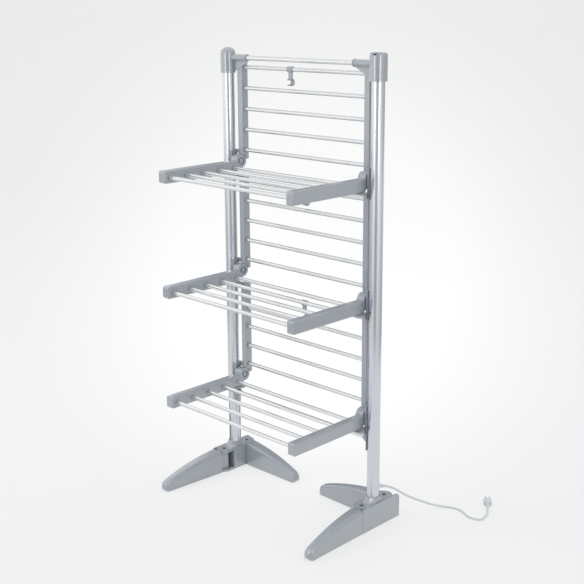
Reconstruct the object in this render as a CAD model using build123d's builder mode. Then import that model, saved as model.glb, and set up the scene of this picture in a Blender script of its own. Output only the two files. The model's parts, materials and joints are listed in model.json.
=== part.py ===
from build123d import *
import math
import os

os.makedirs("parts", exist_ok=True)

# Heated clothes airer: two round posts carry three fixed back racks of heated rods and three
# racks of the same rods that fold down to the front as shelves.
# Millimetres. +Z is up, -Y is the front where the shelves hang out, +X is the switch side.
# The origin is on the floor at the middle of the footprint, so the posts stand behind it.
# Y sizes below are measured from the posts' axes.

# Overall layout
TOTAL_HEIGHT = 1400.0
POST_X = 306.0
POST_RADIUS = 19.0
POST_WALL = 1.5
POST_FOOT_Z = 10.0
POST_BELOW_TOP = 25.0
POST_TOP_Z = TOTAL_HEIGHT - POST_BELOW_TOP

# Clearances
SNUG = 0.05
RUNNING = 0.05
END_GAP = 0.5
MOVING_GAP = 0.5

# Heated rods
ROD_RADIUS = 6.0
ROD_WALL = 1.0
ROD_PITCH = 64.4
RODS_PER_RACK = 5
ROD_INSERT = 12.0
WIRE_RADIUS = 2.2
WIRE_SETBACK = 2.0
COLLAR_RADIUS = 8.5
COLLAR_LENGTH = 3.0

# Back racks, one above each shelf
RACK_NAMES = ("upper", "middle", "lower")
RACK_SPAN = ROD_PITCH * (RODS_PER_RACK - 1)
RACK_GAP = 97.4
TOP_ROD_BELOW_TOP = 60.0
UPPER_ROD_Z = TOTAL_HEIGHT - TOP_ROD_BELOW_TOP
RACK_TOP_Z = [UPPER_ROD_Z - (RACK_SPAN + RACK_GAP) * step for step in range(len(RACK_NAMES))]
BACK_ROD_Y = 18.7
RAIL_PAST_ARM = 1.8
RAIL_THICK = 20.8
RAIL_DEPTH = 27.6
RAIL_CORNER = 3.0
RAIL_ABOVE_ROD = 17.5
UPPER_RAIL_ABOVE_ROD = 18.5
RAIL_CROWN = 9.0
RAIL_FOOT_ABOVE_HINGE = 5.0

# Folding shelves
HINGE_BELOW_RODS = 33.9
HINGE_Z = [top_z - RACK_SPAN - HINGE_BELOW_RODS for top_z in RACK_TOP_Z]
ARM_TO_POST_AXIS = 54.0
ARM_INNER_X = POST_X - ARM_TO_POST_AXIS
ARM_THICK = 27.0
ARM_TOP = 2.5
ARM_TALL = 39.0
SHELF_FIRST_ROD_Y = -31.0
ARM_PAST_LAST_ROD = 21.8
ARM_FRONT_Y = SHELF_FIRST_ROD_Y - RACK_SPAN - ARM_PAST_LAST_ROD
ARM_REAR_Y = -17.0
ARM_CORNER = 5.0
ARM_TIP_ROUND = 8.0
ARM_TIP_OUTER_ROUND = 14.0
ARM_TIP_INNER_ROUND = 5.0
SHELF_ROD_DROP = 19.4
BOSS_RADIUS = 21.0
BOSS_BLEND_START_Y = -31.0
BLEND_INSET = 1.5
BOSS_GROOVE_OUTER = 12.5
BOSS_GROOVE_INNER = 7.0
BOSS_GROOVE_DEPTH = 4.0

# Hinge pins and brackets
PIN_RADIUS = 5.0
POST_TO_FLANGE = 24.8
FLANGE_INNER_X = POST_X - POST_TO_FLANGE
FLANGE_THICK = 5.3
PIN_BLIND_WALL = 7.0
PIN_INNER_X = ARM_INNER_X + PIN_BLIND_WALL
PIN_OUTER_X = FLANGE_INNER_X + FLANGE_THICK
FLANGE_FRONT_Y = -14.0
FLANGE_REAR_Y = 9.0
BRACKET_ABOVE = 34.0
BRACKET_BELOW = 56.5
LOWEST_FLANGE_BELOW = 76.5
LOWEST_SADDLE_BELOW = 104.0
CUP_LENGTH = 9.2
CUP_SINK = 3.8
CUP_TIP_X = FLANGE_INNER_X - CUP_LENGTH
CUP_FLOOR_X = FLANGE_INNER_X + CUP_SINK
CUP_TIP_RADIUS = 8.5
CUP_ROOT_RADIUS = 12.0
LOWEST_ROD_BELOW_HINGE = 69.0
LOWEST_ROD_Y = (FLANGE_FRONT_Y + FLANGE_REAR_Y) / 2
LOWEST_ROD_Z = HINGE_Z[-1] - LOWEST_ROD_BELOW_HINGE
SADDLE_RADIUS = 24.0
SADDLE_SHORT_OF_AXIS = 15.4
SPACER_RADIUS = 9.0
TAB_FRONT_Y = 7.0
TAB_REAR_Y = 19.0
TAB_TO_POST_AXIS = 13.0
TAB_OUTER_X = POST_X - TAB_TO_POST_AXIS
UPPER_TAB_LOW = 23.0
UPPER_TAB_HIGH = 33.5
LOWER_TAB_LOW = -56.0
LOWER_TAB_HIGH = -48.0
LIP_INSET = 4.0
LIP_INNER_X = ARM_INNER_X + LIP_INSET
LIP_FRONT_Y = -50.0
LIP_REAR_Y = 2.5
LIP_THICK = 3.0
LIP_FRONT_DROP = 37.2
LIP_MID_DROP = 40.2
LIP_REAR_DROP = 40.6
RIB_OVERHANG = 1.2
RIB_INNER_X = FLANGE_INNER_X - RIB_OVERHANG
RIB_FRONT_Y = -44.0
RIB_FOOT_DROP = 54.0

# Top caps and top bar
CAP_TALL = 78.0
CAP_FOOT_Z = TOTAL_HEIGHT - CAP_TALL
LEFT_CAP_RADIUS = 23.5
RIGHT_CAP_RADIUS = 25.0
LEFT_DOME_RISE = 20.0
LEFT_DOME_START_Z = TOTAL_HEIGHT - LEFT_DOME_RISE
RIGHT_CAP_ROUND = 8.0
BAR_RADIUS = 7.0
BAR_WALL = 1.2
BAR_BELOW_TOP = 31.0
BAR_Z = TOTAL_HEIGHT - BAR_BELOW_TOP
SOCKET_REACH = 88.0
SOCKET_END_X = POST_X - SOCKET_REACH
SOCKET_RADIUS = 10.2
SOCKET_RIM_RADIUS = 11.2
SOCKET_RIM_LENGTH = 3.0
SOCKET_DEPTH = 18.0
GUSSET_THICK = 2.0
GUSSET_REACH = 85.0
GUSSET_BELOW_BAR = 12.5
GUSSET_ABOVE_FOOT = 2.0
GUSSET_END_X = POST_X - GUSSET_REACH
GUSSET_END_Z = BAR_Z - GUSSET_BELOW_BAR
GUSSET_FOOT_Z = CAP_FOOT_Z + GUSSET_ABOVE_FOOT

# Rocker switch in the right cap
SCOOP_RADIUS = 17.0
SCOOP_AXIS_ABOVE_TOP = 8.0
SCOOP_AXIS_Z = TOTAL_HEIGHT + SCOOP_AXIS_ABOVE_TOP
SEAT_Z = SCOOP_AXIS_Z - SCOOP_RADIUS
BEZEL_LENGTH = 34.0
BEZEL_WIDTH = 23.0
BEZEL_THICK = 2.0
SWITCH_LENGTH = 30.0
SWITCH_WIDTH = 20.0
SWITCH_DEPTH = 12.0
SWITCH_FLOOR = 2.0
ROCKER_LENGTH = 24.0
ROCKER_WIDTH = 14.0
ROCKER_OPENING_GAP = 1.5
ROCKER_AXIS_BELOW_SEAT = 1.0
ROCKER_AXIS_Z = SEAT_Z - ROCKER_AXIS_BELOW_SEAT
ROCKER_TOP_END = 8.0
ROCKER_TOP_MID = 5.0
ROCKER_BOTTOM = 2.0
ROCKER_TILT = 7.0
ROCKER_AXLE_RADIUS = 1.5
ROCKER_AXLE_LENGTH = 17.0

# Hooks that hold the folded shelves
HOOK_X = (-50.0, 12.0, 5.0)
HOOK_REACH = 38.2
HOOK_CLIP_RADIUS = 8.6
HOOK_CLIP_LENGTH = 20.0
HOOK_SHANK_WIDTH = 14.0
HOOK_SHANK_THICK = 5.0
HOOK_JAW_INNER = 7.2
HOOK_JAW_OUTER = 11.0
HOOK_MOUTH_HALF = 6.4

# Feet
FOOT_TOP_Z = 75.0
PLATE_THICK = 8.0
HUB_HALF_WIDTH = 25.0
PIVOT_Y = 52.0
BLOCK_HALF_LENGTH = 27.5
HUB_CORNER = 3.0
COLLAR_TALL = 17.0
COLLAR_TOP_Z = FOOT_TOP_Z + COLLAR_TALL
COLLAR_TOP_FLAT = 21.5
SKIRT_HALF_WIDTH = 22.5
SKIRT_HALF_LENGTH = 34.0
SKIRT_FRONT_HALF = 12.0
SKIRT_SIDE_HALF = 16.0
WALL_INNER = 22.0
WALL_OUTER = 27.5
WALL_REAR_Y = 92.0
WALL_ROUND = 14.0
PIVOT_PIN_RADIUS = 6.5
PIVOT_PIN_SINK = 4.5
PIVOT_PIN_TOP_Z = FOOT_TOP_Z - PIVOT_PIN_SINK
PIVOT_PIN_FOOT_Z = 3.0
LEG_LENGTH = 255.0
LEG_CUT = 26.0
LEG_TIP_HALF = 15.0
LEG_MID = 140.0
LEG_MID_DROP = 14.0
NOSE_LENGTH = 18.0
NOSE_START_Z = 34.0
NOSE_BULGE = 3.5
NOSE_BULGE_Z = 21.0
NOSE_FOOT_Z = 4.0
NOSE_OVERRUN = 2.0
LEG_EDGE_ROUND = 10.0
CHIN_LENGTH = 13.0
CHIN_RISE = 15.0
CHIN_BULGE = 4.5
FRONT_LEG_INNER_HALF = 17.0
FRONT_LEG_OUTER_HALF = 27.0
FRONT_LEG_SPLAY = 14.0
INNER_LEG_FRONT_HALF = 27.0
INNER_LEG_REAR_HALF = 20.0
INNER_LEG_SPLAY = 9.0
KNUCKLE_RADIUS = 15.0
NECK_HALF = 13.0

# Supply cord, leaving the back of the right post just above the foot
CORD_RADIUS = 3.4
GLAND_ROOT_RADIUS = 6.5
GLAND_TIP_RADIUS = 4.2
GLAND_LENGTH = 25.0
GLAND_Z = 118.0
GLAND_SIDE_TURN = 72.0
GLAND_DIP = 17.0
GLAND_SINK = 1.2
PLUG_LENGTH = 30.0
PLUG_THICK = 15.0
PLUG_NECK_LENGTH = 20.0
PLUG_PIN_LENGTH = 19.0
PLUG_PIN_RADIUS = 2.0
PLUG_PIN_SPACING = 12.0
PLUG_BODY_WIDTH = 26.0

BACK_RAIL_FRONT_Y = BACK_ROD_Y - RAIL_DEPTH / 2
RAIL_INNER_X = ARM_INNER_X - RAIL_PAST_ARM
ARM_OUTER_X = ARM_INNER_X + ARM_THICK

# Reference planes through the post axes
POST_Y = -(ARM_FRONT_Y + WALL_REAR_Y) / 2
FLOOR = Plane((0, POST_Y, 0), x_dir=(1, 0, 0), z_dir=(0, 0, 1))
SIDE = Plane((0, POST_Y, 0), x_dir=(0, 1, 0), z_dir=(1, 0, 0))
FRONT = Plane((0, POST_Y, 0), x_dir=(1, 0, 0), z_dir=(0, -1, 0))


def save(part, name):
    part.label = name
    export_step(part, f"parts/{name}.step")


def x_cylinder(radius, start_x, end_x, y, z, mode=Mode.ADD):
    """Round bar along X between two X positions, inside the part being built."""
    with BuildSketch(SIDE.offset(start_x)) as disc:
        with Locations((y, z)):
            Circle(radius)
    extrude(disc.sketch, amount=end_x - start_x, mode=mode)


def rod_group(places, half_length, radius, wall):
    """Round tubes along X, one for each (y, z) place."""
    with BuildPart() as rods:
        with BuildSketch(SIDE.offset(-half_length)):
            with Locations(*places):
                Circle(radius)
                Circle(radius - wall, mode=Mode.SUBTRACT)
        extrude(amount=2 * half_length)
    return rods.part


def wire_group(places, half_length):
    """Heating wires lying on the bottom of the tubes."""
    drop = ROD_RADIUS - ROD_WALL - WIRE_RADIUS - SNUG
    low_places = [(y, z - drop) for y, z in places]
    with BuildPart() as wires:
        with BuildSketch(SIDE.offset(-half_length)):
            with Locations(*low_places):
                Circle(WIRE_RADIUS)
        extrude(amount=2 * half_length)
    return wires.part


# Posts
def post(side):
    with BuildPart() as tube:
        with BuildSketch(FLOOR.offset(POST_FOOT_Z)):
            with Locations((side * POST_X, 0)):
                Circle(POST_RADIUS)
                Circle(POST_RADIUS - POST_WALL, mode=Mode.SUBTRACT)
        extrude(amount=POST_TOP_Z - POST_FOOT_Z)
    return tube.part


save(post(-1), "left_post")
save(post(1), "right_post")


# Top caps, each with a side socket for the top bar and a triangular web under the socket
def cap(side, radius, has_switch):
    with BuildPart() as body:
        with BuildSketch(FLOOR.offset(CAP_FOOT_Z)):
            with Locations((side * POST_X, 0)):
                Circle(radius)
        dome_start = TOTAL_HEIGHT if has_switch else LEFT_DOME_START_Z
        extrude(amount=dome_start - CAP_FOOT_Z)
        if has_switch:
            top_edge = body.edges().filter_by(GeomType.CIRCLE).sort_by(Axis.Z)[-1]
            fillet(top_edge, RIGHT_CAP_ROUND)
        else:
            rise = TOTAL_HEIGHT - LEFT_DOME_START_Z
            shoulder = (radius * math.sin(math.radians(45)), rise * math.sin(math.radians(45)))
            dome_centre = (side * POST_X, POST_Y, LEFT_DOME_START_Z)
            with BuildSketch(Plane(dome_centre, x_dir=(1, 0, 0), z_dir=(0, -1, 0))):
                with BuildLine():
                    dome = Spline((radius, 0), shoulder, (0, rise), tangents=((0, 1), (-1, 0)))
                    Polyline(dome @ 1, (0, 0), dome @ 0)
                make_face()
            revolve(axis=Axis((side * POST_X, POST_Y, 0), (0, 0, 1)))
        rim_x = SOCKET_END_X + SOCKET_RIM_LENGTH
        x_cylinder(SOCKET_RADIUS, side * SOCKET_END_X, side * (POST_X - POST_RADIUS), 0, BAR_Z)
        x_cylinder(SOCKET_RIM_RADIUS, side * SOCKET_END_X, side * rim_x, 0, BAR_Z)
        with BuildSketch(FRONT.offset(-BACK_RAIL_FRONT_Y)):
            with BuildLine():
                Polyline(
                    (side * GUSSET_END_X, BAR_Z),
                    (side * GUSSET_END_X, GUSSET_END_Z),
                    (side * (POST_X - radius + 1), GUSSET_FOOT_Z),
                    (side * (POST_X - radius + 1), BAR_Z),
                    close=True,
                )
            make_face()
        extrude(amount=GUSSET_THICK)
        with BuildSketch(FLOOR.offset(CAP_FOOT_Z)):
            with Locations((side * POST_X, 0)):
                Circle(POST_RADIUS + SNUG)
        extrude(amount=POST_TOP_Z + END_GAP - CAP_FOOT_Z, mode=Mode.SUBTRACT)
        bore_end = side * (SOCKET_END_X + SOCKET_DEPTH)
        x_cylinder(BAR_RADIUS + SNUG, side * SOCKET_END_X, bore_end, 0, BAR_Z, Mode.SUBTRACT)
        if has_switch:
            with BuildSketch(FRONT):
                with Locations((side * POST_X, SCOOP_AXIS_Z)):
                    Circle(SCOOP_RADIUS)
            extrude(amount=2 * radius, both=True, mode=Mode.SUBTRACT)
            with BuildSketch(FLOOR.offset(SEAT_Z)):
                with Locations((side * POST_X, 0)):
                    SlotOverall(BEZEL_LENGTH + 2 * SNUG, BEZEL_WIDTH + 2 * SNUG, rotation=90)
            extrude(amount=TOTAL_HEIGHT - SEAT_Z, mode=Mode.SUBTRACT)
            with BuildSketch(FLOOR.offset(SEAT_Z)):
                with Locations((side * POST_X, 0)):
                    Rectangle(SWITCH_WIDTH + 2 * SNUG, SWITCH_LENGTH + 2 * SNUG)
            extrude(amount=-SWITCH_DEPTH - END_GAP, mode=Mode.SUBTRACT)
    return body.part


save(cap(-1, LEFT_CAP_RADIUS, False), "left_cap")
save(cap(1, RIGHT_CAP_RADIUS, True), "right_cap")

bar_half = SOCKET_END_X + SOCKET_DEPTH - END_GAP
save(rod_group([(0, BAR_Z)], bar_half, BAR_RADIUS, BAR_WALL), "top_bar")

# Switch housing with an oval rim, and its rocker resting in the off position
with BuildPart() as switch_housing:
    with BuildSketch(FLOOR.offset(SEAT_Z)):
        with Locations((POST_X, 0)):
            SlotOverall(BEZEL_LENGTH, BEZEL_WIDTH, rotation=90)
    extrude(amount=BEZEL_THICK)
    with BuildSketch(FLOOR.offset(SEAT_Z)):
        with Locations((POST_X, 0)):
            Rectangle(SWITCH_WIDTH, SWITCH_LENGTH)
    extrude(amount=-SWITCH_DEPTH)
    with BuildSketch(FLOOR.offset(SEAT_Z + BEZEL_THICK)):
        with Locations((POST_X, 0)):
            Rectangle(ROCKER_WIDTH + 1, ROCKER_LENGTH + 2 * ROCKER_OPENING_GAP)
    extrude(amount=SWITCH_FLOOR - SWITCH_DEPTH - BEZEL_THICK, mode=Mode.SUBTRACT)
    axle_hole = ROCKER_AXLE_LENGTH / 2 + END_GAP
    x_cylinder(
        ROCKER_AXLE_RADIUS + RUNNING,
        POST_X - axle_hole,
        POST_X + axle_hole,
        0,
        ROCKER_AXIS_Z,
        Mode.SUBTRACT,
    )
save(switch_housing.part, "switch_housing")

tilt = math.radians(ROCKER_TILT)
rocker_plane = Plane(
    origin=(POST_X - ROCKER_WIDTH / 2, POST_Y, ROCKER_AXIS_Z),
    x_dir=(0, math.cos(tilt), math.sin(tilt)),
    z_dir=(1, 0, 0),
)
with BuildPart() as rocker:
    with BuildSketch(rocker_plane):
        with BuildLine():
            top = ThreePointArc(
                (-ROCKER_LENGTH / 2, ROCKER_TOP_END),
                (0, ROCKER_TOP_MID),
                (ROCKER_LENGTH / 2, ROCKER_TOP_END),
            )
            Polyline(
                top @ 1,
                (ROCKER_LENGTH / 2, -ROCKER_BOTTOM),
                (-ROCKER_LENGTH / 2, -ROCKER_BOTTOM),
                top @ 0,
            )
        make_face()
    extrude(amount=ROCKER_WIDTH)
    axle_half = ROCKER_AXLE_LENGTH / 2
    x_cylinder(ROCKER_AXLE_RADIUS, POST_X - axle_half, POST_X + axle_half, 0, ROCKER_AXIS_Z)
save(rocker.part, "switch_rocker")


# Back rails: upright bars beside the posts that hold the ends of the back rods
def rail(side, low_z, high_z, rod_heights, hinge_z):
    inner = side * RAIL_INNER_X
    centre = side * (RAIL_INNER_X + RAIL_THICK / 2)
    with BuildPart() as bar:
        with BuildSketch(FLOOR.offset(low_z)):
            with Locations((centre, BACK_ROD_Y)):
                RectangleRounded(RAIL_THICK, RAIL_DEPTH, RAIL_CORNER)
        extrude(amount=high_z - low_z)
        with BuildSketch(SIDE.offset(inner - side * RAIL_CORNER)) as crown:
            with Locations((BACK_ROD_Y, (low_z + high_z) / 2)):
                Rectangle(RAIL_DEPTH, high_z - low_z)
            fillet(crown.vertices().sort_by(Axis.Y)[-2:], RAIL_CROWN)
        extrude(amount=side * (RAIL_THICK + 2 * RAIL_CORNER), mode=Mode.INTERSECT)
        for z in rod_heights:
            x_cylinder(COLLAR_RADIUS, inner - side * COLLAR_LENGTH, inner, BACK_ROD_Y, z)
        for z in rod_heights:
            hole_start = inner - side * COLLAR_LENGTH
            hole_end = inner + side * (ROD_INSERT + END_GAP)
            x_cylinder(ROD_RADIUS + SNUG, hole_start, hole_end, BACK_ROD_Y, z, Mode.SUBTRACT)
        far = inner + side * RAIL_THICK
        x_cylinder(BOSS_RADIUS + 2 * MOVING_GAP, inner, far, 0, hinge_z, Mode.SUBTRACT)
    return bar.part


back_half = RAIL_INNER_X + ROD_INSERT
for rack, top_z, hinge_z in zip(RACK_NAMES, RACK_TOP_Z, HINGE_Z):
    heights = [top_z - ROD_PITCH * step for step in range(RODS_PER_RACK)]
    above = UPPER_RAIL_ABOVE_ROD if rack == "upper" else RAIL_ABOVE_ROD
    for side_name, side in (("left", -1), ("right", 1)):
        low_z = hinge_z + RAIL_FOOT_ABOVE_HINGE
        save(rail(side, low_z, top_z + above, heights, hinge_z), f"{rack}_{side_name}_rail")
    places = [(BACK_ROD_Y, z) for z in heights]
    save(rod_group(places, back_half, ROD_RADIUS, ROD_WALL), f"{rack}_back_rods")
    save(wire_group(places, back_half - WIRE_SETBACK), f"{rack}_back_heating_wires")

# Lowest cross rod, held in cups on the two lowest brackets
lowest_half = CUP_FLOOR_X - END_GAP
save(rod_group([(LOWEST_ROD_Y, LOWEST_ROD_Z)], lowest_half, ROD_RADIUS, ROD_WALL), "lowest_cross_rod")


# Shelf arms: flat bars with a round hinge boss at the back
def arm(side, hinge_z, rod_places):
    inner = side * ARM_INNER_X
    outer = side * ARM_OUTER_X
    centre = (inner + outer) / 2
    middle_z = hinge_z + ARM_TOP - ARM_TALL / 2
    with BuildPart() as body:
        with BuildSketch(FRONT.offset(-ARM_REAR_Y)):
            with Locations((centre, middle_z)):
                RectangleRounded(ARM_THICK, ARM_TALL, ARM_CORNER)
        extrude(amount=ARM_REAR_Y - ARM_FRONT_Y)
        middle_y = (ARM_FRONT_Y + ARM_REAR_Y) / 2
        with BuildSketch(SIDE.offset(inner)) as flank:
            with Locations((middle_y, middle_z)):
                Rectangle(ARM_REAR_Y - ARM_FRONT_Y, ARM_TALL)
            fillet(flank.vertices().sort_by(Axis.X)[:2], ARM_TIP_ROUND)
        extrude(amount=side * ARM_THICK, mode=Mode.INTERSECT)
        with BuildSketch(FLOOR.offset(middle_z - ARM_TALL / 2)) as plan:
            with Locations((centre, middle_y)):
                Rectangle(ARM_THICK, ARM_REAR_Y - ARM_FRONT_Y)
            front = plan.vertices().sort_by(Axis.Y)[:2].sort_by(Axis.X)
            outer_corner, inner_corner = reversed(front) if side > 0 else front
            fillet(inner_corner, ARM_TIP_INNER_ROUND)
            fillet(outer_corner, ARM_TIP_OUTER_ROUND)
        extrude(amount=ARM_TALL, mode=Mode.INTERSECT)
        x_cylinder(BOSS_RADIUS, inner, outer, 0, hinge_z)
        under_z = hinge_z + ARM_TOP - ARM_TALL
        with BuildSketch(SIDE.offset(inner + side * BLEND_INSET)):
            with BuildLine():
                blend = ThreePointArc(
                    (BOSS_BLEND_START_Y, under_z),
                    (BOSS_BLEND_START_Y / 2, under_z + 6.5),
                    (0, hinge_z - BOSS_RADIUS),
                )
                Polyline(blend @ 1, (0, hinge_z), (BOSS_BLEND_START_Y, hinge_z), blend @ 0)
            make_face()
        extrude(amount=side * (ARM_THICK - 2 * BLEND_INSET))
        with BuildSketch(SIDE.offset(inner)):
            with Locations((0, hinge_z)):
                Circle(BOSS_GROOVE_OUTER)
                Circle(BOSS_GROOVE_INNER, mode=Mode.SUBTRACT)
        extrude(amount=side * BOSS_GROOVE_DEPTH, mode=Mode.SUBTRACT)
        pin_end = side * (PIN_INNER_X - END_GAP)
        x_cylinder(PIN_RADIUS + RUNNING, pin_end, outer, 0, hinge_z, Mode.SUBTRACT)
        for y, z in rod_places:
            x_cylinder(COLLAR_RADIUS, inner - side * COLLAR_LENGTH, inner, y, z)
        for y, z in rod_places:
            hole_start = inner - side * COLLAR_LENGTH
            hole_end = inner + side * (ROD_INSERT + END_GAP)
            x_cylinder(ROD_RADIUS + SNUG, hole_start, hole_end, y, z, Mode.SUBTRACT)
    return body.part


shelf_half = ARM_INNER_X + ROD_INSERT
for rack, hinge_z in zip(RACK_NAMES, HINGE_Z):
    rod_z = hinge_z - SHELF_ROD_DROP
    places = [(SHELF_FIRST_ROD_Y - ROD_PITCH * step, rod_z) for step in range(RODS_PER_RACK)]
    for side_name, side in (("left", -1), ("right", 1)):
        save(arm(side, hinge_z, places), f"{rack}_{side_name}_arm")
    save(rod_group(places, shelf_half, ROD_RADIUS, ROD_WALL), f"{rack}_shelf_rods")
    save(wire_group(places, shelf_half - WIRE_SETBACK), f"{rack}_shelf_heating_wires")


# Hinge brackets: a flange and saddle on the post, and a lip that stops the arm when level
def bracket(side, hinge_z, saddle_foot_z, flange_foot_z, has_cup):
    high_z = hinge_z + BRACKET_ABOVE
    flange_x = side * (FLANGE_INNER_X + FLANGE_THICK / 2)
    with BuildPart() as body:
        with BuildSketch(FLOOR.offset(saddle_foot_z)):
            with Locations((side * POST_X, 0)):
                Circle(SADDLE_RADIUS)
            saddle_middle = POST_X - SADDLE_SHORT_OF_AXIS - SADDLE_RADIUS
            with Locations((side * saddle_middle, -SADDLE_RADIUS)):
                Rectangle(2 * SADDLE_RADIUS, 2 * (SADDLE_RADIUS + FLANGE_REAR_Y), mode=Mode.INTERSECT)
        extrude(amount=high_z - saddle_foot_z)
        with BuildSketch(FLOOR.offset(flange_foot_z)):
            with Locations((flange_x, (FLANGE_FRONT_Y + FLANGE_REAR_Y) / 2)):
                Rectangle(FLANGE_THICK, FLANGE_REAR_Y - FLANGE_FRONT_Y)
        extrude(amount=high_z - flange_foot_z)
        with BuildSketch(SIDE.offset(side * LIP_INNER_X)):
            with BuildLine():
                top = ThreePointArc(
                    (LIP_FRONT_Y, hinge_z - LIP_FRONT_DROP),
                    (LIP_FRONT_Y / 2, hinge_z - LIP_MID_DROP),
                    (LIP_REAR_Y, hinge_z - LIP_REAR_DROP),
                )
                under = ThreePointArc(
                    (LIP_REAR_Y, hinge_z - LIP_REAR_DROP - LIP_THICK),
                    (LIP_FRONT_Y / 2, hinge_z - LIP_MID_DROP - LIP_THICK),
                    (LIP_FRONT_Y, hinge_z - LIP_FRONT_DROP - LIP_THICK),
                )
                Line(top @ 1, under @ 0)
                Line(under @ 1, top @ 0)
            make_face()
        flange_outer = FLANGE_INNER_X + FLANGE_THICK
        extrude(amount=side * (flange_outer - LIP_INNER_X))
        with BuildSketch(SIDE.offset(side * RIB_INNER_X)):
            with BuildLine():
                Polyline(
                    (RIB_FRONT_Y, hinge_z - LIP_MID_DROP),
                    (FLANGE_FRONT_Y, hinge_z - RIB_FOOT_DROP),
                    (FLANGE_FRONT_Y, hinge_z - LIP_MID_DROP),
                    close=True,
                )
            make_face()
        extrude(amount=side * (flange_outer - RIB_INNER_X))
        for tab_low, tab_high in ((UPPER_TAB_LOW, UPPER_TAB_HIGH), (LOWER_TAB_LOW, LOWER_TAB_HIGH)):
            rail_face = RAIL_INNER_X + RAIL_THICK
            tab_x = side * (rail_face + TAB_OUTER_X) / 2
            with BuildSketch(FLOOR.offset(hinge_z + tab_low)):
                with Locations((tab_x, (TAB_FRONT_Y + TAB_REAR_Y) / 2)):
                    Rectangle(TAB_OUTER_X - rail_face, TAB_REAR_Y - TAB_FRONT_Y)
            extrude(amount=tab_high - tab_low)
        if has_cup:
            with BuildSketch(FRONT.offset(-LOWEST_ROD_Y)):
                with BuildLine():
                    Polyline(
                        (side * CUP_TIP_X, LOWEST_ROD_Z),
                        (side * CUP_TIP_X, LOWEST_ROD_Z + CUP_TIP_RADIUS),
                        (side * FLANGE_INNER_X, LOWEST_ROD_Z + CUP_ROOT_RADIUS),
                        (side * FLANGE_INNER_X, LOWEST_ROD_Z),
                        close=True,
                    )
                make_face()
            revolve(axis=Axis((0, POST_Y + LOWEST_ROD_Y, LOWEST_ROD_Z), (1, 0, 0)))
        spacer_end = side * (ARM_OUTER_X + MOVING_GAP)
        x_cylinder(SPACER_RADIUS, spacer_end, side * FLANGE_INNER_X, 0, hinge_z)
        with BuildSketch(FLOOR.offset(saddle_foot_z)):
            with Locations((side * POST_X, 0)):
                Circle(POST_RADIUS + SNUG)
        extrude(amount=high_z - saddle_foot_z, mode=Mode.SUBTRACT)
        x_cylinder(PIN_RADIUS + SNUG, spacer_end, side * POST_X, 0, hinge_z, Mode.SUBTRACT)
        if has_cup:
            hole = ROD_RADIUS + SNUG
            tip, floor = side * CUP_TIP_X, side * CUP_FLOOR_X
            x_cylinder(hole, tip, floor, LOWEST_ROD_Y, LOWEST_ROD_Z, Mode.SUBTRACT)
    return body.part


for rack, hinge_z in zip(RACK_NAMES, HINGE_Z):
    has_cup = rack == "lower"
    saddle_foot_z = hinge_z - (LOWEST_SADDLE_BELOW if has_cup else BRACKET_BELOW)
    flange_foot_z = hinge_z - (LOWEST_FLANGE_BELOW if has_cup else BRACKET_BELOW)
    for side_name, side in (("left", -1), ("right", 1)):
        body = bracket(side, hinge_z, saddle_foot_z, flange_foot_z, has_cup)
        save(body, f"{rack}_{side_name}_bracket")

with BuildPart() as hinge_pins:
    for hinge_z in HINGE_Z:
        for side in (-1, 1):
            x_cylinder(PIN_RADIUS, side * PIN_INNER_X, side * PIN_OUTER_X, 0, hinge_z)
save(hinge_pins.part, "hinge_pins")


# Hooks hanging on the top rod of each back rack
def hook(x, rod_z):
    jaw_z = rod_z - HOOK_REACH
    with BuildPart() as body:
        x_cylinder(HOOK_CLIP_RADIUS, x - HOOK_CLIP_LENGTH / 2, x + HOOK_CLIP_LENGTH / 2, BACK_ROD_Y, rod_z)
        with BuildSketch(FLOOR.offset(jaw_z + HOOK_JAW_INNER + 1)):
            with Locations((x, BACK_ROD_Y)):
                Rectangle(HOOK_SHANK_WIDTH, HOOK_SHANK_THICK)
        extrude(amount=HOOK_REACH - HOOK_JAW_INNER - 1)
        with BuildSketch(SIDE.offset(x - HOOK_SHANK_WIDTH / 2)):
            with Locations((BACK_ROD_Y, jaw_z)):
                Circle(HOOK_JAW_OUTER)
                Circle(HOOK_JAW_INNER, mode=Mode.SUBTRACT)
            with Locations((BACK_ROD_Y - HOOK_JAW_OUTER, jaw_z)):
                Rectangle(2 * HOOK_JAW_OUTER, 2 * HOOK_MOUTH_HALF, mode=Mode.SUBTRACT)
        extrude(amount=HOOK_SHANK_WIDTH)
        bore_half = HOOK_CLIP_LENGTH / 2
        x_cylinder(ROD_RADIUS + RUNNING, x - bore_half, x + bore_half, BACK_ROD_Y, rod_z, Mode.SUBTRACT)
    return body.part


for rack, x, rod_z in zip(RACK_NAMES, HOOK_X, RACK_TOP_Z):
    save(hook(x, rod_z), f"{rack}_hook")


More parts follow.
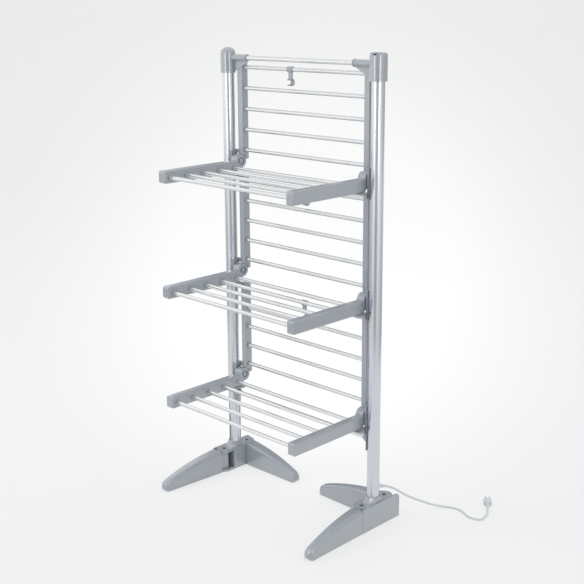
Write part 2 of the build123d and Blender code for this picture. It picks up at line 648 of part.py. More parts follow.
# Feet: a forked hub on each post, with a leg pivoting at its front and one at its back
def hub(side):
    skirt = [
        (SKIRT_HALF_WIDTH, -SKIRT_SIDE_HALF),
        (SKIRT_HALF_WIDTH, SKIRT_SIDE_HALF),
        (SKIRT_FRONT_HALF, SKIRT_HALF_LENGTH),
        (-SKIRT_FRONT_HALF, SKIRT_HALF_LENGTH),
        (-SKIRT_HALF_WIDTH, SKIRT_SIDE_HALF),
        (-SKIRT_HALF_WIDTH, -SKIRT_SIDE_HALF),
        (-SKIRT_FRONT_HALF, -SKIRT_HALF_LENGTH),
        (SKIRT_FRONT_HALF, -SKIRT_HALF_LENGTH),
    ]
    corner = COLLAR_TOP_FLAT * math.tan(math.radians(22.5))
    collar = [
        (COLLAR_TOP_FLAT, -corner),
        (COLLAR_TOP_FLAT, corner),
        (corner, COLLAR_TOP_FLAT),
        (-corner, COLLAR_TOP_FLAT),
        (-COLLAR_TOP_FLAT, corner),
        (-COLLAR_TOP_FLAT, -corner),
        (-corner, -COLLAR_TOP_FLAT),
        (corner, -COLLAR_TOP_FLAT),
    ]
    plate_length = 2 * (PIVOT_Y + HUB_HALF_WIDTH)
    with BuildPart() as body:
        with BuildSketch(FLOOR):
            with Locations((side * POST_X, 0)):
                RectangleRounded(2 * HUB_HALF_WIDTH, 2 * BLOCK_HALF_LENGTH, HUB_CORNER)
        extrude(amount=FOOT_TOP_Z)
        for plate_z in (0, FOOT_TOP_Z - PLATE_THICK):
            with BuildSketch(FLOOR.offset(plate_z)):
                with Locations((side * POST_X, 0)):
                    SlotOverall(plate_length, 2 * HUB_HALF_WIDTH, rotation=90)
            extrude(amount=PLATE_THICK)
        wall_front_y = -(PIVOT_Y + LEG_CUT - MOVING_GAP)
        with BuildSketch(SIDE.offset(side * (POST_X + WALL_INNER))) as wall:
            with Locations(((wall_front_y + WALL_REAR_Y) / 2, FOOT_TOP_Z / 2)):
                Rectangle(WALL_REAR_Y - wall_front_y, FOOT_TOP_Z)
            fillet(wall.vertices().sort_by(Axis.X)[-2:].sort_by(Axis.Y)[-1], WALL_ROUND)
        extrude(amount=side * (WALL_OUTER - WALL_INNER))
        with BuildSketch(FLOOR.offset(FOOT_TOP_Z)):
            with Locations((side * POST_X, 0)):
                Polygon(*skirt, align=None)
        with BuildSketch(FLOOR.offset(COLLAR_TOP_Z)):
            with Locations((side * POST_X, 0)):
                Polygon(*collar, align=None)
        loft()
        with BuildSketch(FLOOR.offset(POST_FOOT_Z)):
            with Locations((side * POST_X, 0)):
                Circle(POST_RADIUS + SNUG)
        extrude(amount=COLLAR_TOP_Z - POST_FOOT_Z, mode=Mode.SUBTRACT)
        with BuildSketch(FLOOR.offset(PIVOT_PIN_FOOT_Z)):
            with Locations((side * POST_X, PIVOT_Y), (side * POST_X, -PIVOT_Y)):
                Circle(PIVOT_PIN_RADIUS + SNUG)
        extrude(amount=FOOT_TOP_Z - PIVOT_PIN_FOOT_Z, mode=Mode.SUBTRACT)
    return body.part


def leg(side, pivot_y, direction, low_half, high_half, splay):
    """One leg that points to the plan angle direction from its pivot.

    low_half and high_half are its half widths at the root, right and left of that direction,
    and splay is how far its tip leans to the left of it."""
    heading = (math.cos(math.radians(direction)), math.sin(math.radians(direction)), 0)
    plan = Plane((side * POST_X, POST_Y + pivot_y, 0), x_dir=heading)
    flank = Plane(plan.origin, x_dir=plan.x_dir, z_dir=-plan.y_dir)
    neck_low = PLATE_THICK + MOVING_GAP
    neck_high = FOOT_TOP_Z - PLATE_THICK - MOVING_GAP
    tip_start = LEG_LENGTH - LEG_TIP_HALF
    with BuildPart() as body:
        with BuildSketch(plan):
            with BuildLine():
                near = Line((LEG_CUT, -low_half), (tip_start, splay - LEG_TIP_HALF))
                far_point = (tip_start, splay + LEG_TIP_HALF)
                round_tip = ThreePointArc(near @ 1, (LEG_LENGTH, splay), far_point)
                Polyline(round_tip @ 1, (LEG_CUT, high_half), near @ 0)
            make_face()
        extrude(amount=FOOT_TOP_Z)
        end = LEG_LENGTH + NOSE_OVERRUN
        crest_middle = (LEG_MID, FOOT_TOP_Z - LEG_MID_DROP)
        nose_start = (LEG_LENGTH - NOSE_LENGTH, NOSE_START_Z)
        nose_bulge = (LEG_LENGTH - NOSE_BULGE, NOSE_BULGE_Z)
        with BuildSketch(flank):
            with BuildLine():
                crest = ThreePointArc((LEG_CUT, FOOT_TOP_Z), crest_middle, nose_start)
                nose = ThreePointArc(crest @ 1, nose_bulge, (end, NOSE_FOOT_Z))
                Polyline(nose @ 1, (end, 0), (LEG_CUT, 0), crest @ 0)
            make_face()
        extrude(amount=LEG_LENGTH, both=True, mode=Mode.INTERSECT)
        soft = []
        for edge in body.edges():
            middle = plan.to_local_coords(edge.center())
            if middle.X > LEG_CUT + 1 and middle.Z > NOSE_FOOT_Z + 1:
                soft.append(edge)
        fillet(soft, LEG_EDGE_ROUND)
        chin_start = (LEG_LENGTH - CHIN_LENGTH, 0)
        chin_middle = (LEG_LENGTH - CHIN_BULGE, CHIN_BULGE)
        with BuildSketch(flank):
            with BuildLine():
                chin = ThreePointArc(chin_start, chin_middle, (end, CHIN_RISE))
                below_start = (LEG_LENGTH - CHIN_LENGTH, -CHIN_RISE)
                Polyline(chin @ 1, (end, -CHIN_RISE), below_start, chin @ 0)
            make_face()
        extrude(amount=LEG_LENGTH, both=True, mode=Mode.SUBTRACT)
        with BuildSketch(plan.offset(neck_low)):
            Circle(KNUCKLE_RADIUS)
            with Locations((LEG_CUT / 2 + 1, 0)):
                Rectangle(LEG_CUT + 2, 2 * NECK_HALF)
        extrude(amount=neck_high - neck_low)
        with BuildSketch(plan.offset(neck_low)):
            Circle(PIVOT_PIN_RADIUS + RUNNING)
        extrude(amount=neck_high - neck_low, mode=Mode.SUBTRACT)
    return body.part


for side_name, side in (("left", -1), ("right", 1)):
    save(hub(side), f"{side_name}_hub")
    front = (FRONT_LEG_INNER_HALF, FRONT_LEG_OUTER_HALF)
    inner = (INNER_LEG_REAR_HALF, INNER_LEG_FRONT_HALF)
    if side > 0:
        front_leg = leg(side, -PIVOT_Y, -90, *front, FRONT_LEG_SPLAY)
        inner_leg = leg(side, PIVOT_Y, 180, *inner, INNER_LEG_SPLAY)
    else:
        front_leg = leg(side, -PIVOT_Y, -90, *reversed(front), -FRONT_LEG_SPLAY)
        inner_leg = leg(side, PIVOT_Y, 0, *reversed(inner), -INNER_LEG_SPLAY)
    save(front_leg, f"{side_name}_front_leg")
    save(inner_leg, f"{side_name}_inner_leg")

with BuildPart() as pivot_pins:
    with BuildSketch(FLOOR.offset(PIVOT_PIN_FOOT_Z)):
        for side in (-1, 1):
            with Locations((side * POST_X, PIVOT_Y), (side * POST_X, -PIVOT_Y)):
                Circle(PIVOT_PIN_RADIUS)
    extrude(amount=PIVOT_PIN_TOP_Z - PIVOT_PIN_FOOT_Z)
save(pivot_pins.part, "leg_pivot_pins")

# Supply cord: gland on the back of the right post, tube over the foot to the floor, plug
side_turn = math.radians(GLAND_SIDE_TURN)
dip = math.radians(GLAND_DIP)
gland_dir = Vector(
    math.cos(side_turn) * math.cos(dip),
    math.sin(side_turn) * math.cos(dip),
    -math.sin(dip),
)
gland_root = Vector(
    POST_X + (POST_RADIUS - GLAND_SINK) * math.cos(side_turn),
    POST_Y + (POST_RADIUS - GLAND_SINK) * math.sin(side_turn),
    GLAND_Z,
)
gland_tip = gland_root + gland_dir * GLAND_LENGTH
with BuildPart() as gland:
    with BuildSketch(Plane(gland_root, z_dir=gland_dir)):
        Circle(GLAND_ROOT_RADIUS)
    with BuildSketch(Plane(gland_tip, z_dir=gland_dir)):
        Circle(GLAND_TIP_RADIUS)
    loft()
    with BuildSketch(FLOOR.offset(GLAND_Z - 2 * POST_RADIUS)):
        with Locations((POST_X, 0)):
            Circle(POST_RADIUS)
    extrude(amount=4 * POST_RADIUS, mode=Mode.SUBTRACT)
save(gland.part, "cord_gland")

cord_corners = [
    gland_tip + gland_dir * 20,
    Vector(339.5, POST_Y + 92, 79),
    Vector(352, POST_Y + 121, 56),
    Vector(369, POST_Y + 156, 37),
    Vector(380, POST_Y + 200, 12),
    Vector(402, POST_Y + 229, CORD_RADIUS),
    Vector(434, POST_Y + 244, CORD_RADIUS),
    Vector(466, POST_Y + 241, CORD_RADIUS),
    Vector(498, POST_Y + 221, CORD_RADIUS),
    Vector(541, POST_Y + 231, CORD_RADIUS),
    Vector(533, POST_Y + 273, CORD_RADIUS),
    Vector(519, POST_Y + 296, PLUG_THICK / 2),
]
plug_dir = Vector(-0.57, 0.82, 0).normalized()
cord_end = cord_corners[-1] + plug_dir * 22
corners = [gland_tip] + cord_corners + [cord_end]
radii = []
for before, corner, after in zip(corners, corners[1:], corners[2:]):
    run_in = corner - before
    run_out = after - corner
    turn = math.radians(run_in.get_angle(run_out))
    radii.append(0.45 * min(run_in.length, run_out.length) / math.tan(turn / 2))
print("cord radii", [round(radius) for radius in radii])
with BuildPart() as cord:
    with BuildLine() as route:
        FilletPolyline(*corners, radius=radii)
    with BuildSketch(Plane(gland_tip, z_dir=gland_dir)):
        Circle(CORD_RADIUS)
    sweep(path=route.wire())
straight = route.wire().length
tube_share = cord.part.volume / (straight * math.pi * CORD_RADIUS**2)
print("cord length", round(straight), "tube volume share", round(tube_share, 3))
save(cord.part, "supply_cord")

# Two-pin plug lying flat on the floor at the end of the cord
plug_side = Vector(-plug_dir.Y, plug_dir.X, 0)
neck_end = cord_end + plug_dir * PLUG_NECK_LENGTH
body_end = neck_end + plug_dir * PLUG_LENGTH
with BuildPart() as plug:
    with BuildSketch(Plane(cord_end, x_dir=plug_side, z_dir=plug_dir)):
        Circle(GLAND_TIP_RADIUS)
    with BuildSketch(Plane(neck_end, x_dir=plug_side, z_dir=plug_dir)):
        Circle(PLUG_THICK / 2 - 1)
    loft()
    with BuildSketch(Plane(neck_end, x_dir=plug_side, z_dir=plug_dir)):
        SlotOverall(PLUG_BODY_WIDTH, PLUG_THICK)
    extrude(amount=PLUG_LENGTH)
save(plug.part, "plug_body")

with BuildPart() as plug_pins:
    with BuildSketch(Plane(body_end, x_dir=plug_side, z_dir=plug_dir)):
        with Locations((PLUG_PIN_SPACING / 2, 0), (-PLUG_PIN_SPACING / 2, 0)):
            Circle(PLUG_PIN_RADIUS)
    extrude(amount=PLUG_PIN_LENGTH)
save(plug_pins.part, "plug_pins")
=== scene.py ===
"""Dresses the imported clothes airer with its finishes, its supply cord and the photograph's studio."""

import json
import logging
import math
from dataclasses import dataclass
from enum import Enum

import bmesh
import bpy
from mathutils import Matrix, Vector


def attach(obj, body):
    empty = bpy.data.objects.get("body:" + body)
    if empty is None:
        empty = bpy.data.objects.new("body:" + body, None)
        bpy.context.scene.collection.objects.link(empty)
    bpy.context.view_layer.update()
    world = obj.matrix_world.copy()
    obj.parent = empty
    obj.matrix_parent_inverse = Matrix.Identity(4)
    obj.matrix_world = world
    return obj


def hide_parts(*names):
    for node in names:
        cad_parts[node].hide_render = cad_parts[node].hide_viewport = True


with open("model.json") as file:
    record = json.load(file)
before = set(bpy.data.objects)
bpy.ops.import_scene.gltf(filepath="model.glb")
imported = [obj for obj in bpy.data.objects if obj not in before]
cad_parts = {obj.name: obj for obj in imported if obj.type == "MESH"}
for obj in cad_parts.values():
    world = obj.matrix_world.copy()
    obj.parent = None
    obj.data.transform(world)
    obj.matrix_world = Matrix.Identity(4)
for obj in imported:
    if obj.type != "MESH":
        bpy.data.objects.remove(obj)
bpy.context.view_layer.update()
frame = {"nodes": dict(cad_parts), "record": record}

log = logging.getLogger("airer")

# The right post's axis, in metres
POST_X = 0.306
POST_Y = 0.1092

# How the fine and the broad surface variation of a finish are drawn
FINE_DETAIL = 3.0
BROAD_SCALE = 9.0
BROAD_DETAIL = 4.0
NOISE_LOW = 0.3
NOISE_HIGH = 0.7
BUMP_STRENGTH = 0.6
COAT_ROUGHNESS = 0.10

# Painted pool of light on the floor and its walls: their colour and glow are brighter round the view axis and
# darker outwards
# Where the photograph's background is brightest, as slopes from the view axis, and how it fades outwards
LIGHT_POOL_MIDDLE = (0.022, 0.0)
LIGHT_POOL_STOPS = ((0.0, 1.0), (0.13, 0.99), (0.19, 0.93), (0.23, 0.90), (0.28, 0.872), (0.38, 0.86))

# Brightness of the two rows of cards, from behind the object on the left, past the camera at 0.5, and back
LOWER_CARDS = (
    (0.0, 0.18),
    (0.03, 0.20),
    (0.055, 0.55),
    (0.12, 0.52),
    (0.205, 0.42),
    (0.267, 0.46),
    (0.322, 0.72),
    (0.370, 0.74),
    (0.414, 0.56),
    (0.455, 0.29),
    (0.505, 0.25),
    (0.542, 0.46),
    (0.586, 0.72),
    (0.630, 0.66),
    (0.678, 0.52),
    (0.733, 0.42),
    (0.95, 0.42),
    (0.975, 0.20),
    (1.0, 0.18),
)
UPPER_CARDS = (
    (0.0, 0.25),
    (0.03, 0.30),
    (0.06, 1.1),
    (0.28, 1.15),
    (0.345, 1.3),
    (0.370, 5.5),
    (0.395, 1.1),
    (0.455, 0.50),
    (0.505, 0.42),
    (0.545, 0.7),
    (0.568, 5.5),
    (0.592, 1.3),
    (0.678, 0.65),
    (0.78, 0.50),
    (0.95, 0.45),
    (0.97, 0.25),
    (1.0, 0.25),
)

# Strength of the lower row at the floor and at one metre, and where the upper row takes over
CARD_LOW = 1.0
CARD_HIGH = 1.9
ROW_SPLIT = (0.80, 0.98)


class Grain(Enum):
    """How a finish varies over its surface, as the noise's scale along X, Y and Z."""

    DRAWN_UP = (900.0, 900.0, 6.0)
    DRAWN_ACROSS = (6.0, 1100.0, 1100.0)
    MOULDED = (1400.0, 1400.0, 1400.0)
    SMOOTH = (60.0, 60.0, 60.0)
    SHEATH = (500.0, 500.0, 500.0)


def add_node(tree: bpy.types.NodeTree, kind: str, inputs: dict | None = None, **settings) -> bpy.types.Node:
    """Adds one shader node and fills its inputs.

    Args:
        tree: Node tree that gets the node.
        kind: Type of the node.
        inputs: Input name or number to a value or to another node's output.
        settings: Properties of the node.

    Returns:
        The new node.
    """
    node = tree.nodes.new(kind)
    for key, value in settings.items():
        setattr(node, key, value)
    for key, value in (inputs or {}).items():
        if isinstance(value, bpy.types.NodeSocket):
            tree.links.new(value, node.inputs[key])
        else:
            node.inputs[key].default_value = value
    return node


def add_math(
    tree: bpy.types.NodeTree, operation: str, *terms, vector: bool = False, output: str | int = 0
) -> bpy.types.NodeSocket:
    """Adds one sum of numbers or vectors.

    Args:
        tree: Node tree that gets the node.
        operation: What it works out.
        terms: Values, or outputs of other nodes, in the node's order.
        vector: Whether it works on vectors.
        output: Name or number of the output that is wanted.

    Returns:
        The result.
    """
    kind = "ShaderNodeVectorMath" if vector else "ShaderNodeMath"
    return add_node(tree, kind, dict(enumerate(terms)), operation=operation).outputs[output]


def add_ramp(
    tree: bpy.types.NodeTree, along: bpy.types.NodeSocket, stops: tuple[tuple[float, float], ...]
) -> bpy.types.NodeSocket:
    """Adds a ramp of grey levels.

    Args:
        tree: Node tree that gets the ramp.
        along: Output that runs along the ramp, from 0 to 1.
        stops: Position and linear brightness of each stop, in order.

    Returns:
        The ramp's colour output.
    """
    node = add_node(tree, "ShaderNodeValToRGB", {"Fac": along})
    ramp = node.color_ramp
    ramp.interpolation = "LINEAR"
    while len(ramp.elements) < len(stops):
        ramp.elements.new(1.0)
    for element, (place, level) in zip(ramp.elements, stops):
        element.position = place
        element.color = (level, level, level, 1.0)
    return node.outputs["Color"]


def stage_paint(name: str) -> bpy.types.Material:
    """Makes an empty node material for a stage object.

    Args:
        name: Name of the material.

    Returns:
        The material.
    """
    paint = bpy.data.materials.new(name)
    paint.use_nodes = True
    return paint


def stage_piece(name: str, mesh: bmesh.types.BMesh, paint: bpy.types.Material) -> bpy.types.Object:
    """Turns a bmesh into a stage object, which isn't part of the airer.

    Args:
        name: Name of the object.
        mesh: Its geometry; it is freed.
        paint: Its material.

    Returns:
        The new object.
    """
    data = bpy.data.meshes.new(name)
    mesh.to_mesh(data)
    mesh.free()
    data.materials.append(paint)
    piece = bpy.data.objects.new(name, data)
    bpy.context.scene.collection.objects.link(piece)
    log.info("staged %s", name)
    return piece


def show_to_mirrors_only(piece: bpy.types.Object) -> None:
    """Hides a stage object from all but mirror rays.

    Args:
        piece: Object that only reflections show.
    """
    piece.visible_camera = piece.visible_diffuse = piece.visible_shadow = False
    piece.visible_transmission = False


@dataclass(frozen=True)
class Finish:
    """One material, built from nodes that read object coordinates.

    Args:
        name: Name of the material.
        slot: Material slot of the record that it stands for.
        color: Linear base colour.
        shade: Darker linear colour that the base colour drifts to.
        metallic: Metallic share.
        roughness: Lowest and highest roughness.
        grain: Kind of surface variation.
        bump: Height of the grain in metres.
        coat: Weight of the clear coat.
        shine: Refractive index of the surface and its coat; more mirrors more.
    """

    name: str
    slot: str
    color: tuple[float, float, float]
    shade: tuple[float, float, float]
    metallic: float
    roughness: tuple[float, float]
    grain: Grain
    bump: float = 0.00002
    coat: float = 0.0
    shine: float = 1.5

    def build(self) -> bpy.types.Material:
        """Makes the material once, and returns it.

        Returns:
            The node material.
        """
        found = bpy.data.materials.get(self.name)
        if found:
            return found
        material = bpy.data.materials.new(self.name)
        material.use_nodes = True
        tree = material.node_tree
        shader = tree.nodes["Principled BSDF"]
        shader.inputs["Metallic"].default_value = self.metallic
        shader.inputs["Coat Weight"].default_value = self.coat
        shader.inputs["Coat Roughness"].default_value = COAT_ROUGHNESS
        shader.inputs["Coat IOR"].default_value = self.shine
        shader.inputs["IOR"].default_value = self.shine
        spot = add_node(tree, "ShaderNodeTexCoord").outputs["Object"]
        stretch = add_node(tree, "ShaderNodeMapping", {"Vector": spot, "Scale": self.grain.value})
        fine = self.add_noise(tree, stretch.outputs["Vector"], 1.0, FINE_DETAIL)
        broad = self.add_noise(tree, spot, BROAD_SCALE, BROAD_DETAIL)
        colors = {"Factor": broad, "A": (*self.color, 1.0), "B": (*self.shade, 1.0)}
        drift = add_node(tree, "ShaderNodeMix", colors, data_type="RGBA")
        spread = {
            "Value": fine,
            "From Min": NOISE_LOW,
            "From Max": NOISE_HIGH,
            "To Min": self.roughness[0],
            "To Max": self.roughness[1],
        }
        rough = add_node(tree, "ShaderNodeMapRange", spread)
        relief = {"Height": fine, "Distance": self.bump, "Strength": BUMP_STRENGTH}
        bump = add_node(tree, "ShaderNodeBump", relief)
        tree.links.new(drift.outputs["Result"], shader.inputs["Base Color"])
        tree.links.new(rough.outputs["Result"], shader.inputs["Roughness"])
        tree.links.new(bump.outputs["Normal"], shader.inputs["Normal"])
        return material

    @staticmethod
    def add_noise(
        tree: bpy.types.NodeTree, spot: bpy.types.NodeSocket, scale: float, detail: float
    ) -> bpy.types.NodeSocket:
        """Adds one noise texture.

        Args:
            tree: Node tree that gets the texture.
            spot: Coordinates that it reads.
            scale: Scale of the noise.
            detail: Octaves of the noise.

        Returns:
            The noise's value.
        """
        inputs = {"Vector": spot, "Scale": scale, "Detail": detail}
        return add_node(tree, "ShaderNodeTexNoise", inputs).outputs["Fac"]


POST_METAL = Finish(
    name="satin_post_aluminium",
    slot="post_aluminium",
    color=(0.68, 0.70, 0.745),
    shade=(0.62, 0.64, 0.69),
    metallic=0.85,
    roughness=(0.15, 0.24),
    grain=Grain.DRAWN_UP,
)
ROD_METAL = Finish(
    name="silver_rod_aluminium",
    slot="rod_aluminium",
    color=(0.83, 0.84, 0.85),
    shade=(0.76, 0.775, 0.79),
    metallic=0.80,
    roughness=(0.12, 0.20),
    grain=Grain.DRAWN_ACROSS,
)
GREY_PLASTIC = Finish(
    name="grey_moulded_plastic",
    slot="grey_plastic",
    color=(0.290, 0.322, 0.358),
    shade=(0.262, 0.292, 0.328),
    metallic=0.0,
    roughness=(0.24, 0.34),
    grain=Grain.MOULDED,
    bump=0.000006,
    coat=0.9,
    shine=1.85,
)
BLACK_PLASTIC = Finish(
    name="black_switch_plastic",
    slot="switch_black",
    color=(0.016, 0.016, 0.020),
    shade=(0.030, 0.030, 0.034),
    metallic=0.0,
    roughness=(0.18, 0.30),
    grain=Grain.SMOOTH,
)
PIN_STEEL = Finish(
    name="dull_pin_steel",
    slot="pin_steel",
    color=(0.07, 0.075, 0.085),
    shade=(0.04, 0.045, 0.05),
    metallic=0.6,
    roughness=(0.40, 0.55),
    grain=Grain.SMOOTH,
)
CORD_PLASTIC = Finish(
    name="pale_grey_cord_plastic",
    slot="cord_plastic",
    color=(0.62, 0.65, 0.68),
    shade=(0.55, 0.58, 0.61),
    metallic=0.0,
    roughness=(0.36, 0.48),
    grain=Grain.SHEATH,
)
WIRE_COVER = Finish(
    name="heating_wire_cover",
    slot="heating_wire",
    color=(0.60, 0.55, 0.47),
    shade=(0.50, 0.46, 0.40),
    metallic=0.0,
    roughness=(0.50, 0.62),
    grain=Grain.SHEATH,
)
PLUG_METAL = Finish(
    name="plug_pin_metal",
    slot="plug_metal",
    color=(0.66, 0.58, 0.38),
    shade=(0.56, 0.50, 0.34),
    metallic=1.0,
    roughness=(0.22, 0.32),
    grain=Grain.SMOOTH,
)


@dataclass
class PackedPieces:
    """The airer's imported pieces, which keep their shapes and get their finishes here.

    Args:
        finishes: One finish for each material slot of the record.
    """

    finishes: tuple[Finish, ...] = (
        POST_METAL,
        ROD_METAL,
        GREY_PLASTIC,
        BLACK_PLASTIC,
        PIN_STEEL,
        CORD_PLASTIC,
        WIRE_COVER,
        PLUG_METAL,
    )

    def dress(self) -> None:
        """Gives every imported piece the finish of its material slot."""
        by_slot = {finish.slot: finish for finish in self.finishes}
        slots = {part["node"]: part["material_slot"] for part in frame["record"]["subparts"]}
        for name, piece in frame["nodes"].items():
            piece.data.materials.clear()
            piece.data.materials.append(by_slot[slots[name]].build())
            log.info("dressed %s as %s", name, slots[name])


@dataclass
class SupplyCord:
    """The cord that leaves the right post and ends in its plug.

    Args:
        diameter: Outer diameter of the sheath.
        length: Real length of the cord.
        exit_reach: Distance from the post's axis to the cord's root.
        exit_height: Height of the cord's root.
        exit_turn: Direction in which the cord leaves, in degrees from X.
        exit_dip: How far the cord points down where it leaves, in degrees.
        gland_reach: Distance from the root to the gland's tip, where the sheath starts.
        straight: How far the sheath stays straight behind the gland.
        plug_place: Where the cord meets the plug, from the post's Y.
        plug_heading: Direction in which the plug lies.
        plug_sink: How deep the cord runs into the plug.
    """

    diameter: float = 0.0068
    length: float = 0.466
    exit_reach: float = 0.0178
    exit_height: float = 0.118
    exit_turn: float = 72.0
    exit_dip: float = 17.0
    gland_reach: float = 0.025
    straight: float = 0.020
    plug_place: tuple[float, float, float] = (0.519, 0.296, 0.0075)
    plug_heading: tuple[float, float, float] = (-0.57, 0.82, 0.0)
    plug_sink: float = 0.022

    def route(self) -> list[Vector]:
        """Works out the points that the cord follows.

        Returns:
            Control points from the gland's tip to the inside of the plug.
        """
        rest = self.diameter / 2
        turn, dip = math.radians(self.exit_turn), math.radians(self.exit_dip)
        lead = Vector((math.cos(turn) * math.cos(dip), math.sin(turn) * math.cos(dip), -math.sin(dip)))
        across, back = self.exit_reach * math.cos(turn), self.exit_reach * math.sin(turn)
        start = Vector((POST_X + across, POST_Y + back, self.exit_height)) + lead * self.gland_reach
        last = Vector(self.plug_place) + Vector((0, POST_Y, 0))
        return [
            start,
            start + lead * self.straight,
            Vector((0.3395, POST_Y + 0.092, 0.079)),
            Vector((0.352, POST_Y + 0.121, 0.056)),
            Vector((0.369, POST_Y + 0.156, 0.037)),
            Vector((0.380, POST_Y + 0.200, 0.012)),
            Vector((0.402, POST_Y + 0.229, rest)),
            Vector((0.434, POST_Y + 0.244, rest)),
            Vector((0.466, POST_Y + 0.241, rest)),
            Vector((0.498, POST_Y + 0.221, rest)),
            Vector((0.541, POST_Y + 0.231, rest)),
            Vector((0.533, POST_Y + 0.273, rest)),
            last,
            last + Vector(self.plug_heading).normalized() * self.plug_sink,
        ]

    def build(self) -> bpy.types.Object:
        """Returns:
            The cord's curve object.
        """
        route = self.route()
        data = bpy.data.curves.new("supply_cord_sheath", "CURVE")
        data.dimensions = "3D"
        spline = data.splines.new("NURBS")
        spline.points.add(len(route) - 1)
        for point, place in zip(spline.points, route):
            point.co = (*place, 1.0)
        spline.order_u = 3
        spline.use_endpoint_u = True
        spline.resolution_u = 12
        data.bevel_depth = self.diameter / 2
        data.bevel_resolution = 4
        data.use_fill_caps = True
        data.materials.append(CORD_PLASTIC.build())
        cord = bpy.data.objects.new("supply_cord_sheath", data)
        bpy.context.scene.collection.objects.link(cord)
        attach(cord, "frame")
        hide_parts("supply_cord")
        log.info("laid the supply cord, %.3f m long", self.length)
        return cord


@dataclass
class Camera:
    """The photograph's viewpoint, solved from its straight edges.

    Args:
        place: Where the camera stands.
        yaw: Turn about the vertical, in degrees.
        pitch: Angle below the horizon, in degrees.
        roll: Turn about the view axis, in degrees.
        frame_px: Side of the photograph in pixels.
        focal_px: Focal length in pixels.
        axis_row: Row of the photograph that the view axis meets.
        sensor: Width of the sensor in millimetres.
        clip_end: Farthest distance that is drawn.
    """

    place: tuple[float, float, float] = (2.2216, -2.2874 + POST_Y, 1.5322)
    yaw: float = 44.555605
    pitch: float = 13.736892
    roll: float = -0.353343
    frame_px: int = 584
    focal_px: float = 1072.38
    axis_row: int = 265
    sensor: float = 36.0
    clip_end: float = 200.0

    def turn(self) -> Matrix:
        """Works out how the camera is turned.

        Returns:
            The rotation as a 4 by 4 matrix.
        """
        return (
            Matrix.Rotation(math.radians(self.yaw), 4, "Z")
            @ Matrix.Rotation(math.radians(90.0 - self.pitch), 4, "X")
            @ Matrix.Rotation(math.radians(self.roll), 4, "Z")
        )

    def axes(self) -> tuple[Vector, Vector, Vector]:
        """Gives the camera's directions in the row frame.

        Returns:
            Unit vectors to its right, up and ahead.
        """
        turn = self.turn().to_3x3()
        return turn.col[0].copy(), turn.col[1].copy(), -turn.col[2]

    def build(self) -> bpy.types.Object:
        """Creates the camera and makes it the scene's camera.

        Returns:
            The camera object.
        """
        data = bpy.data.cameras.new("photo_camera")
        data.sensor_width = self.sensor
        data.lens = self.sensor * self.focal_px / self.frame_px
        data.shift_y = (self.axis_row - self.frame_px / 2) / self.frame_px
        data.clip_end = self.clip_end
        data.dof.use_dof = False
        camera = bpy.data.objects.new("photo_camera", data)
        camera.matrix_world = Matrix.Translation(self.place) @ self.turn()
        bpy.context.scene.collection.objects.link(camera)
        bpy.context.scene.camera = camera
        log.info("placed the camera")
        return camera


@dataclass(frozen=True)
class SoftBox:
    """One square area light, which the metal doesn't mirror.

    Args:
        name: Name of the light.
        place: Where it hangs.
        aim_height: Height of the point on the airer's middle that it faces.
        size: Side of the square.
        power: Power in watts.
    """

    name: str
    place: tuple[float, float, float]
    aim_height: float
    size: float
    power: float

    def build(self) -> bpy.types.Object:
        """Hangs the light.

        Returns:
            The light object.
        """
        data = bpy.data.lights.new(self.name, "AREA")
        data.size = self.size
        data.energy = self.power
        lamp = bpy.data.objects.new(self.name, data)
        aim = Vector((0, 0, self.aim_height)) - Vector(self.place)
        lamp.matrix_world = Matrix.Translation(self.place) @ aim.to_track_quat("-Z", "Y").to_matrix().to_4x4()
        lamp.visible_glossy = False
        bpy.context.scene.collection.objects.link(lamp)
        log.info("hung %s", self.name)
        return lamp


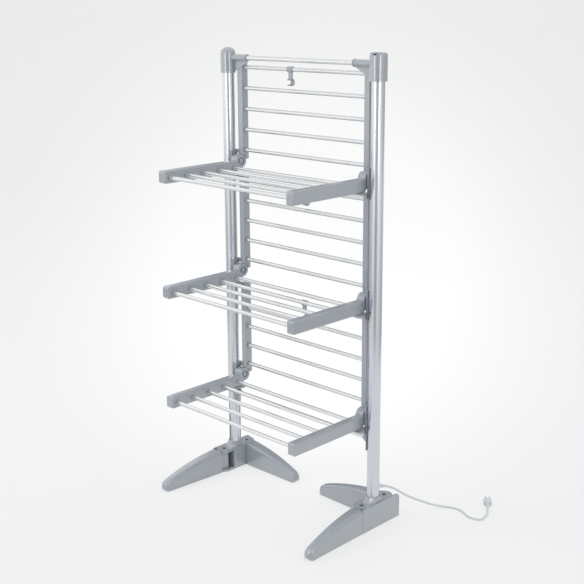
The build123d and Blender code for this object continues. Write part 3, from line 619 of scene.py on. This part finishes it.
@dataclass
class Studio:
    """Pale floor that sweeps up into walls, soft lights, and light and dark cards that the metal mirrors.

    Args:
        view: The camera whose photograph fades towards its corners.
        floor_half: Half the floor's side, and the height of its walls.
        sweep: Radius of the sweep from the floor to the walls.
        world: Strength of the even light.
        tint: Colour of the even light.
        glow: Share of the floor that glows by itself, which keeps its shadows faint.
        card_radius: Radius of the ring of cards.
        card_height: Height of the ring of cards.
        card_sides: Number of flat sides of the ring.
        dark_size: Length and width of the dark card that lies behind the object.
        dark_reach: Distance from the middle of the object to the middle of the dark card.
        dark_turn: Direction in which the dark card lies, in degrees from X.
        dark_lift: Height of the dark card over the floor.
        dark_level: Linear brightness of the dark card.
        boxes: The soft lights.
    """

    view: Camera
    floor_half: float = 60.0
    sweep: float = 20.0
    world: float = 0.95
    tint: tuple[float, float, float] = (0.96, 0.98, 1.0)
    glow: float = 0.72
    card_radius: float = 1.9
    card_height: float = 2.2
    card_sides: int = 96
    dark_size: tuple[float, float] = (1.7, 1.0)
    dark_reach: float = 1.2
    dark_turn: float = 148.0
    dark_lift: float = 0.002
    dark_level: float = 0.16
    boxes: tuple[SoftBox, ...] = (
        SoftBox("key_box", (-2.6, -2.6, 3.0), aim_height=0.7, size=2.4, power=44),
        SoftBox("side_box", (3.6, 0.2, 2.4), aim_height=0.7, size=1.8, power=11),
        SoftBox("top_box", (0.0, 0.6, 4.0), aim_height=0.5, size=3.0, power=22),
    )

    def build(self) -> None:
        """Lays the floor, sets the cards and hangs the lights."""
        self.lay_floor()
        self.stand_cards()
        self.lay_dark_card()
        self.light_world()
        for box in self.boxes:
            box.build()

    def light_world(self) -> None:
        """Sets the even light from all sides and keeps the colours as they are."""
        world = bpy.data.worlds.new("studio_world")
        world.use_nodes = True
        back = world.node_tree.nodes["Background"]
        back.inputs["Color"].default_value = (*self.tint, 1.0)
        back.inputs["Strength"].default_value = self.world
        bpy.context.scene.world = world
        bpy.context.scene.view_settings.view_transform = "Standard"

    def lay_floor(self) -> None:
        """Makes the floor and its walls, with a painted pool of light that is bright in the view's middle and
        darker round it.
        """
        paint = stage_paint("pale_floor")
        tree = paint.node_tree
        spot = add_node(tree, "ShaderNodeTexCoord").outputs["Object"]
        ray = add_math(tree, "SUBTRACT", spot, self.view.place, vector=True)
        across, up, ahead = (
            add_math(tree, "DOT_PRODUCT", ray, axis, vector=True, output="Value") for axis in self.view.axes()
        )
        offsets = []
        for share, middle in zip((across, up), LIGHT_POOL_MIDDLE):
            slope = add_math(tree, "DIVIDE", share, ahead)
            offsets.append(add_math(tree, "SUBTRACT", slope, middle))
        flat = add_node(tree, "ShaderNodeCombineXYZ", {"X": offsets[0], "Y": offsets[1]}).outputs[0]
        reach = add_math(tree, "LENGTH", flat, vector=True, output="Value")
        # Painted pool of light: the ramp's brightness sets both the floor's glow and its matt colour
        painted_light_pool = add_ramp(tree, reach, LIGHT_POOL_STOPS)
        shine = add_node(tree, "ShaderNodeEmission", {"Color": painted_light_pool}).outputs[0]
        matt = add_node(tree, "ShaderNodeBsdfDiffuse", {"Color": painted_light_pool}).outputs[0]
        both = add_node(tree, "ShaderNodeMixShader", {0: self.glow, 1: matt, 2: shine}).outputs[0]
        tree.links.new(both, tree.nodes["Material Output"].inputs["Surface"])
        floor = bmesh.new()
        bmesh.ops.create_grid(floor, x_segments=1, y_segments=1, size=self.floor_half)
        border = list(floor.edges)
        walls = bmesh.ops.extrude_edge_only(floor, edges=border)["geom"]
        top = [vert for vert in walls if isinstance(vert, bmesh.types.BMVert)]
        bmesh.ops.translate(floor, vec=(0, 0, self.floor_half), verts=top)
        bmesh.ops.bevel(
            floor, geom=border, offset=self.sweep, segments=12, profile=0.5, affect="EDGES", material=-1
        )
        stage_piece("studio_sweep", floor, paint)

    def stand_cards(self) -> None:
        """Stands the ring of cards, in two rows, that only mirror rays see."""
        paint = stage_paint("mirror_cards")
        tree = paint.node_tree
        spot = add_node(tree, "ShaderNodeTexCoord").outputs["Object"]
        parts = add_node(tree, "ShaderNodeSeparateXYZ", {0: spot}).outputs
        turn = add_math(tree, "ARCTAN2", parts["Y"], parts["X"])
        ahead = add_math(tree, "SUBTRACT", turn, math.radians(self.view.yaw - 90.0))
        wrapped = add_math(tree, "WRAP", ahead, math.pi, -math.pi)
        circle = {"Value": wrapped, "From Min": -math.pi, "From Max": math.pi}
        share = add_node(tree, "ShaderNodeMapRange", circle).outputs[0]
        lift = {"Value": parts["Z"], "To Min": CARD_LOW, "To Max": CARD_HIGH}
        power = add_node(tree, "ShaderNodeMapRange", lift).outputs[0]
        low_bands, high_bands = add_ramp(tree, share, LOWER_CARDS), add_ramp(tree, share, UPPER_CARDS)
        low_row = add_node(tree, "ShaderNodeEmission", {"Color": low_bands, "Strength": power}).outputs[0]
        high_row = add_node(tree, "ShaderNodeEmission", {"Color": high_bands}).outputs[0]
        split = {"Value": parts["Z"], "From Min": ROW_SPLIT[0], "From Max": ROW_SPLIT[1]}
        row = add_node(tree, "ShaderNodeMapRange", split).outputs[0]
        shine = add_node(tree, "ShaderNodeMixShader", {0: row, 1: low_row, 2: high_row}).outputs[0]
        tree.links.new(shine, tree.nodes["Material Output"].inputs["Surface"])
        ring = bmesh.new()
        bmesh.ops.create_cone(
            ring,
            segments=self.card_sides,
            radius1=self.card_radius,
            radius2=self.card_radius,
            depth=self.card_height,
        )
        bmesh.ops.translate(ring, vec=(0, 0, self.card_height / 2), verts=ring.verts)
        show_to_mirrors_only(stage_piece("mirror_cards", ring, paint))

    def lay_dark_card(self) -> None:
        """Lays the dark card behind the object that the rods mirror along their undersides."""
        paint = stage_paint("dark_card")
        tree = paint.node_tree
        level = (self.dark_level, self.dark_level, self.dark_level, 1.0)
        shine = add_node(tree, "ShaderNodeEmission", {"Color": level}).outputs[0]
        tree.links.new(shine, tree.nodes["Material Output"].inputs["Surface"])
        card = bmesh.new()
        bmesh.ops.create_grid(card, x_segments=1, y_segments=1, size=0.5)
        bmesh.ops.scale(card, vec=(*self.dark_size, 1.0), verts=card.verts)
        bmesh.ops.translate(card, vec=(self.dark_reach, 0, self.dark_lift), verts=card.verts)
        turn = Matrix.Rotation(math.radians(self.dark_turn), 3, "Z")
        bmesh.ops.rotate(card, cent=(0, 0, 0), matrix=turn, verts=card.verts)
        show_to_mirrors_only(stage_piece("dark_card", card, paint))


def main() -> None:
    """Builds everything in order."""
    logging.basicConfig(level=logging.INFO)
    PackedPieces().dress()
    SupplyCord().build()
    camera = Camera()
    camera.build()
    Studio(camera).build()


if __name__ == "__main__":
    main()
